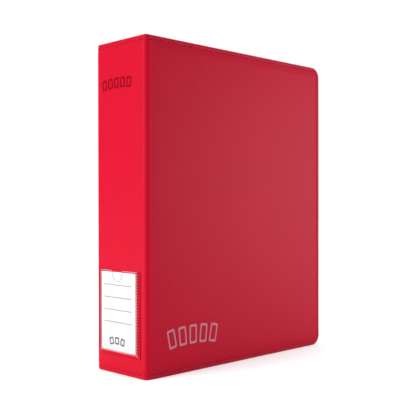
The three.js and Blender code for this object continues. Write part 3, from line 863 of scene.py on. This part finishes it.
def build_cover(name, side):
    prefix, press = f"{name}_cover", None

    def blend_round(obj):
        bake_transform(obj)

    if name == "front":
        x, z = FRONT_MARK_MIDDLE
        surface = FRONT_Y - CROWN + MARK_DEPTH
        press = (FRONT_MARK, FRONT_MARK_SIZE, lambda u, v, out: Vector((x + u, surface - out, z + v)),
                 lambda p: (SPINE_REACH + BEND_LENGTH - BEND_R + p.x - SPINE_X, p.z))
    build_panel(prefix, [prefix, f"{name}_hinge"], Cover(side), Cover(side, BEND_LENGTH + 0.5 * MM),
                blend_round, press)


def build_spine():
    y, z = SPINE_MARK_MIDDLE
    surface = SPINE_X - CROWN + MARK_DEPTH
    press = (SPINE_MARK, SPINE_MARK_SIZE, lambda u, v, out: Vector((surface - out, y + u, z + v)),
             lambda p: (-p.y, p.z))
    build_panel("spine", ["spine"], Spine(), Spine(),
                lambda obj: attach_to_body(obj, "spine"), press)


# ---- Title pocket ----

SEAMS = {side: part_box(f"title_seam_{side}") for side in ("front", "back", "lower")}
FRONT_SEAM_Y, BACK_SEAM_Y = SEAMS["front"][1].y, SEAMS["back"][0].y  # their edges beside the card
LOWER_LOW, LOWER_HIGH = SEAMS["lower"]
POCKET_TOP, POCKET_FOOT = WINDOW_HIGH.z, WINDOW_LOW.z
NOTCH_MIDDLE_Y = 4.1 * MM
NOTCH_R = 7.75 * MM
NOTCH_FOOT = POCKET_TOP - 10.4 * MM
RIB_PITCH = 2.75 * MM
RIB_R = 0.58 * MM
BASE_TOP = LOWER_LOW.x + 0.08 * MM  # outer face of the pocket's sewn borders
FILM_X = WINDOW_LOW.x + 0.26 * MM  # outer face of the film beside its borders
FILM_FRONT_Y, FILM_BACK_Y = FRONT_SEAM_Y - 0.3 * MM, BACK_SEAM_Y + 0.3 * MM
RULE_RISES = (65.2, 52.8, 40.5, 28.4)  # of the card's ruled lines above its foot, in millimetres
RULE_HALF = 0.4
CARD_MARK_MIDDLE = Vector((CARD_LOW.x, CARD_LOW.y + 28.4 * MM, CARD_LOW.z + 9.7 * MM))
CARD_MARK_SIZE = (25.7 * MM, 8.6 * MM)
UP, OVER, FORWARD = Vector((0, 0, 1)), Vector((0, 1, 0)), Vector((1, 0, 0))


def pane():
    """The clear window: a thin sheet, pressed down along its sewn borders and lifted over the card."""
    film_t = 0.28 * MM
    ys = np.linspace(FILM_FRONT_Y, FILM_BACK_Y, 44)
    zs = np.linspace(LOWER_HIGH.z - 0.5 * MM, POCKET_TOP, 56)

    def place(y, z, side):
        from_side = min(y - ys[0], ys[-1] - y) - 0.5 * MM
        lift = smoothstep(from_side / (2 * MM)) * smoothstep((z - zs[0] - 0.6 * MM) / (2 * MM))
        wave = 0.09 * MM * sin(70 * y + 1) * sin(48 * z) * lift
        return Vector((FILM_X - 0.14 * MM * lift + wave + side * film_t, y, z))

    return slab(ys, zs, place)


def notch_outline(radius, top):
    """The thumb notch from above one side, round its foot, to above the other: (y, z)."""
    arc = [(NOTCH_MIDDLE_Y - radius * cos(t), NOTCH_FOOT + NOTCH_R - radius * sin(t))
           for t in np.linspace(0, pi, 21)]
    return [(NOTCH_MIDDLE_Y - radius, top)] + arc + [(NOTCH_MIDDLE_Y + radius, top)]


def film_beads():
    """A fine rolled bead along each of the film's cut edges, which carries the edges' painted highlight."""
    x = FILM_X - 0.04 * MM
    rim, foot, side_top = POCKET_TOP - 0.25 * MM, LOWER_HIGH.z - 0.3 * MM, POCKET_TOP - 0.4 * MM
    notch = NOTCH_R + 0.2 * MM
    left, right = FILM_FRONT_Y + 0.9 * MM, BACK_SEAM_Y - 0.15 * MM
    beads = (
        ((FILM_FRONT_Y + 0.1 * MM, rim), (NOTCH_MIDDLE_Y - notch, rim), 0.32, UP),
        ((NOTCH_MIDDLE_Y + notch, rim), (FILM_BACK_Y - 0.1 * MM, rim), 0.32, UP),
        ((FILM_FRONT_Y - 1.2 * MM, foot), (FILM_BACK_Y + 0.8 * MM, foot), 0.34, UP),
        ((left, LOWER_HIGH.z), (left, side_top), 0.3, OVER),
        ((right, LOWER_HIGH.z), (right, side_top), 0.2, OVER),
    )
    return gather([tube([Vector((x, *one)), Vector((x, *other))], [radius * MM] * 2, 8, across)
                   for one, other, radius, across in beads])


def sewn(spots, path, radii, sides, hole, length, width):
    """Stitches at these spots and a needle hole beside each. path and hole start from the spot, in mm."""
    threads = [tube([spot + MM * Vector(step) for step in path], radii, sides, FORWARD) for spot in spots]
    return threads, [dimple(spot + MM * Vector(hole), OVER, -FORWARD, length, width) for spot in spots]


def side_stitches(y, start, end, hole):
    """Slanted stitches up a side border, between start and end from y, in millimetres."""
    foot, reach, lean = POCKET_FOOT + 1.2 * MM, POCKET_TOP - POCKET_FOOT - 2.0 * MM, -1.2
    count = int(reach / RIB_PITCH)
    spots = [Vector((BASE_TOP, y, foot + (k + 0.5) * reach / count)) for k in range(count)]
    path = [(0.02 + 0.5 * (2 * share - 1) ** 4, start + share * (end - start), lean * (share - 0.5))
            for share in (i / 6 for i in range(7))]
    radii = [RIB_R * x for x in (0.55, 0.9, 1, 1, 1, 0.9, 0.55)]
    return sewn(spots, path, radii, 10, (-0.18, hole, 0.5 * reach / count / MM), 2.2 * MM, 1.6 * MM)


def lower_stitches():
    """Small stitches along the lower border."""
    reach = LOWER_HIGH.y - LOWER_LOW.y - 9 * MM
    count = int(reach / RIB_PITCH)
    spots = [Vector((BASE_TOP, LOWER_LOW.y + 4.2 * MM + (k + 0.5) * reach / count, POCKET_FOOT + 1.5 * MM))
             for k in range(count)]
    path = ((0.25, -0.95, -0.5), (-0.16, -0.6, -0.3), (-0.24, 0, 0), (-0.16, 0.6, 0.3), (0.25, 0.95, 0.5))
    radii = [x * MM for x in (0.2, 0.26, 0.26, 0.26, 0.2)]
    return sewn(spots, path, radii, 6, (-0.16, -1.4, -0.7), 1.0 * MM, 0.8 * MM)


def build_pocket():
    film = mesh_object("title_film", pane())
    outline = notch_outline(NOTCH_R, POCKET_TOP + 3 * MM)
    notch = loft([[Vector((x, *spot)) for spot in outline]
                  for x in (WINDOW_LOW.x - 2 * MM, WINDOW_HIGH.x + 1 * MM)])
    cut(film, mesh_object("notch", notch))
    sharpen(film, 50)
    dress(film, WINDOW_FILM, ["title_window"], "spine")

    lip = [Vector((FILM_X - 0.06 * MM, y, z)) for y, z in notch_outline(NOTCH_R + 0.05 * MM, POCKET_TOP)]
    lip = tube(lip, [0.2 * MM] * len(lip), 8, FORWARD)
    for name, geometry, material in (("edges", film_beads(), FILM_EDGE_HIGHLIGHT), ("notch_edge", lip, NOTCH_EDGE)):
        dress(mesh_object(f"title_film_{name}", geometry), material, body="spine")
    for name, (low, high) in SEAMS.items():
        block = bar((BASE_TOP, low.y, low.z), high, 0.12 * MM)
        base = sharpen(mesh_object(f"title_border_{name}", block), 60)
        # The side borders take the darker bed with its painted shade.
        material = BORDER if name == "lower" else SHADED_ROPE_BED
        dress(base, material, [f"title_seam_{name}"], "spine")

    front, front_holes = side_stitches(FRONT_SEAM_Y, -2.5, 0.2, -1.7)
    back, back_holes = side_stitches(BACK_SEAM_Y, -1.1, 1.9, 1.5)
    lower, lower_holes = lower_stitches()
    sewing = (("side_stitches", front + back, HIGHLIT_BORDER_THREAD), ("lower_stitches", lower, THREAD),
              ("border_holes", front_holes + back_holes + lower_holes, HOLE_SHADE))
    for name, parts, material in sewing:
        dress(mesh_object(f"title_{name}", gather(parts)), material, body="spine")


def build_title_card():
    """The card keeps its CAD shape. Its ruled lines and its mark are thin prints on it."""
    paint(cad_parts["title_card"], CARD)
    left, right = CARD_LOW.y + 5.5 * MM, CARD_HIGH.y - 4.4 * MM
    lines = [bar((CARD_LOW.x - 0.03 * MM, left, CARD_LOW.z + (rise - RULE_HALF) * MM),
                 (CARD_LOW.x + 0.02 * MM, right, CARD_LOW.z + (rise + RULE_HALF) * MM), 0.008 * MM)
             for rise in RULE_RISES]
    mark = frames(card_row(*CARD_MARK_SIZE, 3), lambda u, v, out: CARD_MARK_MIDDLE + Vector((-out, u, v)),
                  0.03 * MM, -0.02 * MM)
    for name, geometry, material in (("rules", gather(lines), RULE_INK), ("mark", mark, MARK_INK)):
        obj = mesh_object(f"title_card_{name}", geometry, smooth=False)
        dress(obj, material, body="title_card")


# ---- Ring mechanism ----

PLATE_LOW, PLATE_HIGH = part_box("ring_cover_plate")
MECHANISM_X = (PLATE_LOW.x + PLATE_HIGH.x) / 2
MECHANISM_Y = BACK_Y - COVER_T  # the back lining's inner face
WIRE_R = 2 * MM
# In millimetres, as on_mechanism takes them.
RING_ROWS = (-108, 0, 108)
RIVET_ROW, LEVER_ROW = 120, 134
POST_X, BOW_X = 12, -20
RING_TOP, RING_CORNER_R = 58, 10


def on_mechanism(x, y, z):
    """x across the mechanism, y along it and z out from the back lining, in millimetres."""
    return Vector((MECHANISM_X + x * MM, MECHANISM_Y - z * MM, MIDDLE_Z + y * MM))


def bezier(corners, steps):
    """Points of a cubic curve, without its first."""
    t = np.arange(1, steps + 1) / steps
    weights = np.array([(1 - t) ** 3, 3 * t * (1 - t) ** 2, 3 * t * t * (1 - t), t ** 3])
    return (weights.T @ np.array(corners)).tolist()


def post_path():
    """(x, z) of a ring's straight half, from its foot to its tip."""
    middle, level, radius = POST_X - RING_CORNER_R, RING_TOP - RING_CORNER_R, RING_CORNER_R
    path = [(POST_X, z) for z in (4, 10, 24, 38)]
    path += [(middle + radius * cos(t), level + radius * sin(t)) for t in np.linspace(0, pi / 2, 13)]
    return path + [(x, RING_TOP) for x in (1.4, 0.65, 0.15)]


def bow_path():
    """(x, z) of a ring's bowed half."""
    path = [(-POST_X, z) for z in (4, 7, 10)]
    path += bezier([(-POST_X, 10), (-POST_X, 16), (BOW_X, 19), (BOW_X, 31)], 12)
    return path + bezier([(BOW_X, 31), (BOW_X, 47), (-POST_X, RING_TOP), (-0.15, RING_TOP)], 18)


def ring_half(kind, number, path, body, tip):
    """A ring's wire, narrower at the foot and at the tip, where it meets its mate."""
    along = [on_mechanism(x, RING_ROWS[number - 1], z) for x, z in path]
    radii = [0.8 * WIRE_R] + [WIRE_R] * (len(along) - 2) + [tip * WIRE_R]
    obj = mesh_object(f"ring_wire_{kind}_{number}", tube(along, radii, 24, UP))
    dress(sharpen(obj, 45), PLATED, [f"ring_{kind}_{number}"], body)


def plate_section():
    """(x, z) round the arched plate: the outside, then the lips and the inside."""
    half, side, top, sheet = 19.0, 5.0, 10.0, 0.8
    rise = top - side
    radius = (half ** 2 + rise ** 2) / (2 * rise)

    def arch(reach, r):
        turn = asin(reach / r)
        return [(r * sin(t), top - radius + r * cos(t)) for t in np.linspace(turn, -turn, 25)]

    outside = [(half, 0.25), (half, 4.2)] + arch(half - 0.35, radius) + [(-half, 4.2), (-half, 0.25)]
    lip = [(0.3, 0), (2.2, 0), (2.2, sheet), (sheet, sheet)]  # from the side, and up
    inside = arch(half - sheet - 0.1, radius - sheet)[::-1]
    return outside + [(x - half, z) for x, z in lip] + inside + [(half - x, z) for x, z in reversed(lip)]


def build_plate():
    end = (PLATE_HIGH.z - PLATE_LOW.z) / 2 / MM
    section = plate_section()
    rings = [[on_mechanism(x, y, z) for x, z in section] for y in (-end, 0.25 - end, end - 0.25, end)]
    plate = mesh_object("ring_plate", loft(rings))
    sides = (-1, 1)
    slots = [((s * 9.4, y - 2.7, 5), (s * 15.6, y + 2.7, 12)) for y in RING_ROWS for s in sides]
    slots += [((-8.5, s * (LEVER_ROW - 6), 5), (8.5, s * (LEVER_ROW + 8), 12)) for s in sides]
    ears = [((x - 0.4, s * LEVER_ROW - 4, 8.9), (x + 0.4, s * LEVER_ROW + 4, 2.6))
            for s in sides for x in (-9.2, 9.2)]
    for blocks, round_by, operation in ((slots, 0.6 * MM, "DIFFERENCE"), (ears, 0.1 * MM, "UNION")):
        for one, other in blocks:
            block = bar(on_mechanism(*one), on_mechanism(*other), round_by)
            cut(plate, mesh_object("block", block), operation)
    bevel(plate, 0.12 * MM, 2, 50)
    dress(sharpen(plate, 30), PLATED, ["ring_cover_plate"], "back_cover")


def lathe(profile, y):
    """A turned piece about the mechanism's outward axis. profile is (radius, z)."""
    return loft([[on_mechanism(x, y + rise, z) for x, rise in circle(40, radius)] for radius, z in profile])


def build_mechanism():
    build_plate()
    for number in (1, 2, 3):
        ring_half("post", number, post_path(), "page_side_rings", 0.86)
        ring_half("bow", number, bow_path(), "spine_side_rings", 0.9)
    dome = [(0, -3.45), (4.2, -3.45), (4.2, -2.87), (1.8, -2.85), (1.8, 10.1), (4.3, 10.1), (4.5, 10.3)]
    dome += [(4.4, 10.62), (3.9, 10.9), (3.0, 11.08), (1.6, 11.18), (0, 11.2)]
    for name, y in (("rivet_upper", RIVET_ROW), ("rivet_lower", -RIVET_ROW)):
        obj = mesh_object(f"{name}_dome", lathe(dome, y))
        dress(sharpen(obj, 40), PLATED, [name], "back_cover")
    levers = ("lever_upper", "lever_lower")
    for name in levers + ("rail_page_side", "rail_spine_side", "lever_pin_upper", "lever_pin_lower"):
        paint(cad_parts[name], PLATED if name in levers else SPRING)
        bevel(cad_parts[name], 0.15 * MM, 3, 35)


# ---- Pages ----

FOLD_X = -74 * MM
WELD_HALF = 1.1 * MM
HOLE_X, HOLE_R = MECHANISM_X + 13.2 * MM, 4 * MM
FILM_T = 0.2 * MM
PUFF = 0.24 * MM  # how far each face of a pocket swells
PUFF_RISE = 9 * MM  # over which it does so


def thirds(low, high):
    return [low + (high - low) * k / 3 for k in range(4)]


def fine(low, high, lines, step):
    """Grid lines from low to high, close together beside each weld and about a step apart elsewhere."""
    beside = {line + x * WELD_HALF for line in lines for x in (-2.6, -1, -0.55, 0.55, 1, 2.6)}
    marks = sorted(m for m in beside | {low, high} if low <= m <= high)
    filled = []
    for a, b in zip(marks, marks[1:]):
        count = max(1, int(round((b - a) / step)))
        filled += [a + (b - a) * i / count for i in range(count)]
    return filled + [high]


def build_page(number):
    """A page of nine pockets: two films welded in a grid, with a punched strip along one edge."""
    strip_low, strip_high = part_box(f"page_{number}_strip")
    pocket_low, pocket_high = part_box(f"page_{number}_pockets")
    middle_y = (pocket_low.y + pocket_high.y) / 2
    columns = thirds(pocket_low.x + 0.6 * MM, pocket_high.x - 1.4 * MM)
    rows = thirds(pocket_low.z + 1.4 * MM, pocket_high.z - 3.2 * MM)
    xs = [strip_low.x] + [strip_low.x + x * MM for x in np.arange(1.5, 20, 1.5)]
    xs += fine(FOLD_X - 1.5 * MM, pocket_high.x, columns, 6 * MM)
    xs = sorted(set(round(x, 7) for x in xs))

    def from_weld(x, z):
        return min(abs(x - c) for c in columns), min(abs(z - r) for r in rows)

    def swell(x, z):
        """0 on a weld or on the strip, and 1 in the middle of a pocket."""
        if not (columns[0] <= x <= columns[-1] and rows[0] <= z <= rows[-1] + WELD_HALF):
            return 0
        across, up = (smoothstep((d - WELD_HALF) / PUFF_RISE) for d in from_weld(x, z))
        return across * up

    def place(x, z, side):
        wave = 0.05 * MM * sin(31 * x + number) * sin(23 * z + 2 * number)
        ridge = 0.1 * MM if min(from_weld(x, z)) < 0.6 * WELD_HALF and x > FOLD_X else 0
        out = FILM_T / 2 + PUFF * swell(x, z) + ridge
        return Vector((x, middle_y + wave + (2 * side - 1) * out, z))

    page = mesh_object(f"page_{number}_film", slab(xs, fine(strip_low.z, strip_high.z, rows, 7 * MM), place))
    for row in RING_ROWS:
        punch = loft([[Vector((HOLE_X + x, middle_y + reach, MIDDLE_Z + row * MM + z))
                       for x, z in circle(32, HOLE_R)] for reach in (-2 * MM, 2 * MM)])
        cut(page, mesh_object("punch", punch))
    sharpen(page, 50)
    dress(page, PAGE_FILM, [f"page_{number}_strip", f"page_{number}_pockets"])
    page.data.materials.append(PAGE_WELD)
    for face in page.data.polygons:
        x, _, z = face.center
        welded = min(from_weld(x, z)) < 0.9 * WELD_HALF
        face.material_index = int(welded and columns[0] - WELD_HALF < x and rows[0] - WELD_HALF < z)
    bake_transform(page)


# ---- Build ----

camera()
studio()
build_cover("front", -1)
build_cover("back", 1)
build_spine()
build_pocket()
build_title_card()
build_mechanism()
for page_number in (1, 2, 3):
    build_page(page_number)
for panel_name in ("front_cover", "back_cover", "spine"):
    paint(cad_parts[f"{panel_name}_board"], BOARD)
